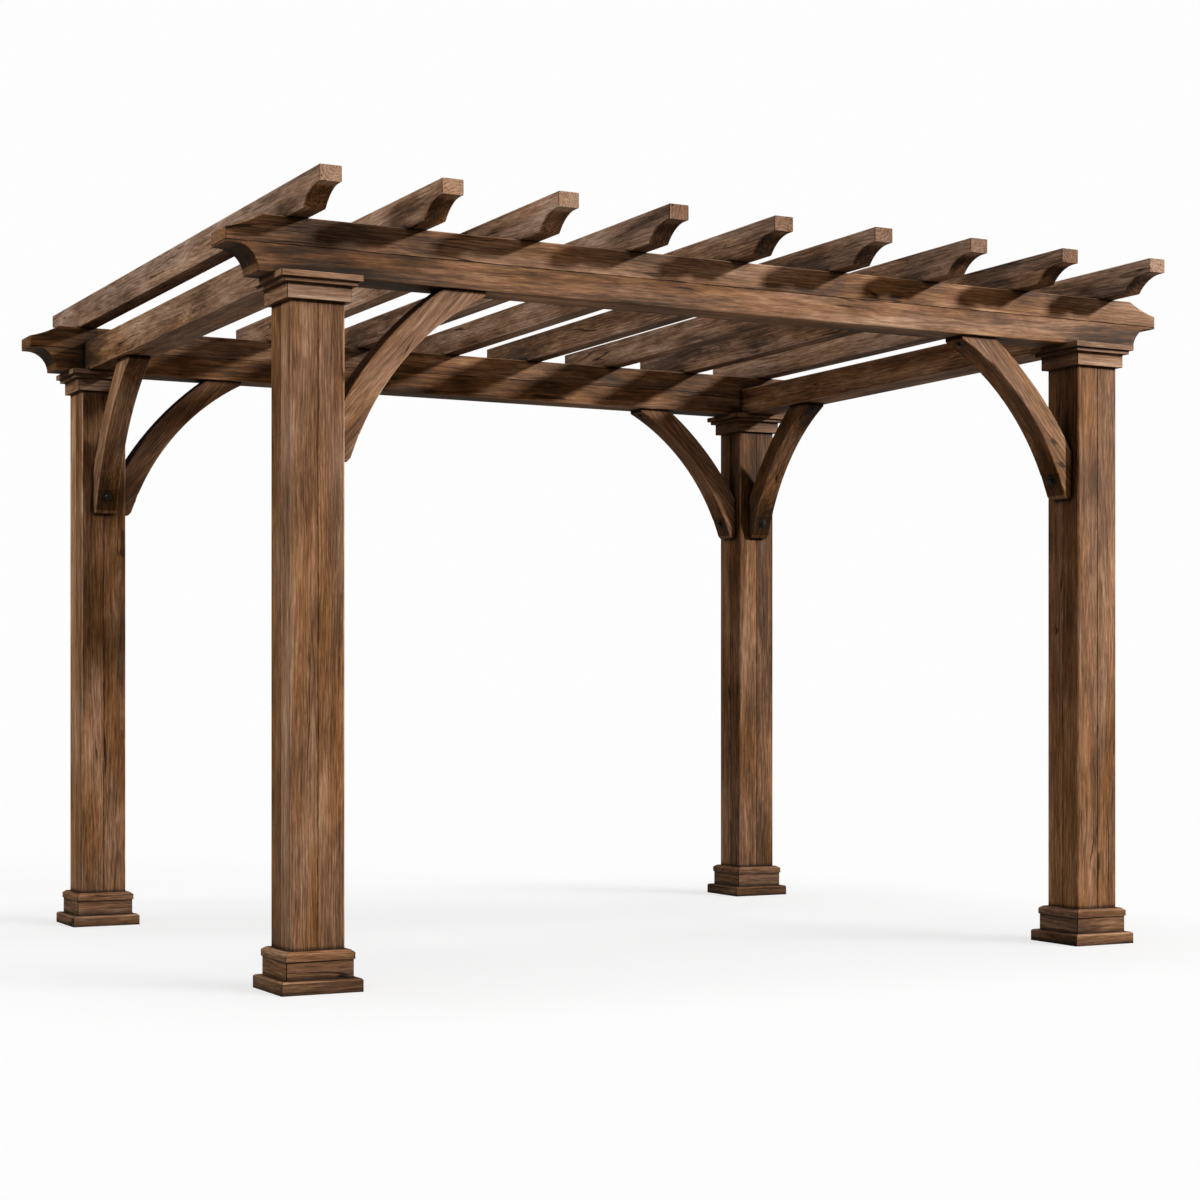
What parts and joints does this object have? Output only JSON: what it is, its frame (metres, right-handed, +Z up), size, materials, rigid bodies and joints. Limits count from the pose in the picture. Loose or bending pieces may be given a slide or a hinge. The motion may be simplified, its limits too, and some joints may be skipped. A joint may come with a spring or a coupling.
{
  "type": "wooden pergola",
  "caption": "Free-standing timber pergola: square posts with moulded bases and capitals, curved knee braces, coved beams and rafters.",
  "frame": {"origin": "on the ground, in the middle of the four posts", "axes": "+X along the front beam to the right as seen from the front, +Y to the back, +Z up"},
  "size_m": [3.76, 3.2, 2.576],
  "materials": {
    "post_wood": "stained, semi-matt, weathered grain",
    "trim_wood": "stained, semi-matt, weathered grain",
    "beam_wood": "stained, semi-matt, weathered grain",
    "brace_wood": "stained, semi-matt, weathered grain",
    "rafter_wood": "stained, semi-matt, weathered grain"
  },
  "bodies": {
    "root": {"post_front_left": "post_wood", "post_front_right": "post_wood", "post_back_left": "post_wood", "post_back_right": "post_wood", "base_plinth_front_left": "trim_wood", "base_plinth_front_right": "trim_wood", "base_plinth_back_left": "trim_wood", "base_plinth_back_right": "trim_wood", "base_block_front_left": "trim_wood", "base_block_front_right": "trim_wood", "base_block_back_left": "trim_wood", "base_block_back_right": "trim_wood", "base_moulding_front_left": "trim_wood", "base_moulding_front_right": "trim_wood", "base_moulding_back_left": "trim_wood", "base_moulding_back_right": "trim_wood", "capital_neck_front_left": "trim_wood", "capital_neck_front_right": "trim_wood", "capital_neck_back_left": "trim_wood", "capital_neck_back_right": "trim_wood", "capital_crown_front_left": "trim_wood", "capital_crown_front_right": "trim_wood", "capital_crown_back_left": "trim_wood", "capital_crown_back_right": "trim_wood", "beam_front": "beam_wood", "beam_back": "beam_wood", "side_beam_left": "beam_wood", "side_beam_right": "beam_wood", "brace_front_left_beam": "brace_wood", "brace_front_right_beam": "brace_wood", "brace_back_left_beam": "brace_wood", "brace_back_right_beam": "brace_wood", "brace_back_left_side": "brace_wood", "brace_back_right_side": "brace_wood", "rafter_1": "rafter_wood", "rafter_2": "rafter_wood", "rafter_3": "rafter_wood", "rafter_4": "rafter_wood", "rafter_5": "rafter_wood", "rafter_6": "rafter_wood", "rafter_7": "rafter_wood", "rafter_8": "rafter_wood", "rafter_9": "rafter_wood"}
  },
  "joints": []
}
